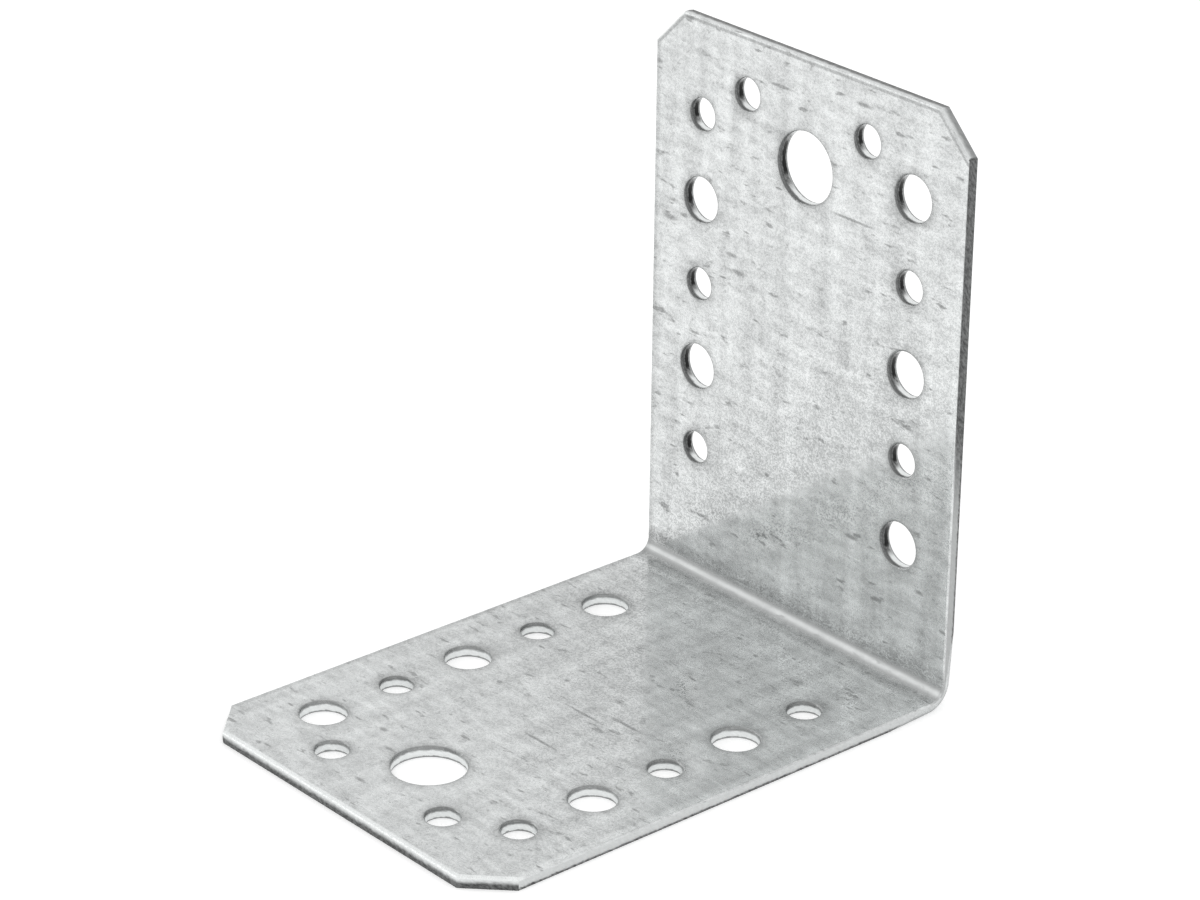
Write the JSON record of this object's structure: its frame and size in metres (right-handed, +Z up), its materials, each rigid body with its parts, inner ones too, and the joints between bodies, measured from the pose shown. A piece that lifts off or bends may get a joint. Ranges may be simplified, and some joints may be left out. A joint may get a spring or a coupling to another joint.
{
  "type": "angle bracket",
  "caption": "Perforated corner bracket of galvanised sheet, folded to a right angle, with cut-back corners. It joins two members square with screws of two sizes and a bolt through each leg.",
  "frame": {"origin": "heel of the bracket, the line where the outer faces of its two legs would meet, at mid width", "axes": "+X across the sheet along the fold, +Y out of the upright's back face, +Z up along the upright; the base leg runs to -Y with its outer face on z = 0"},
  "size_m": [0.065, 0.0884, 0.0917],
  "materials": {
    "galvanised_sheet": "satin"
  },
  "bodies": {
    "root": {"bracket": "galvanised_sheet"}
  },
  "joints": []
}
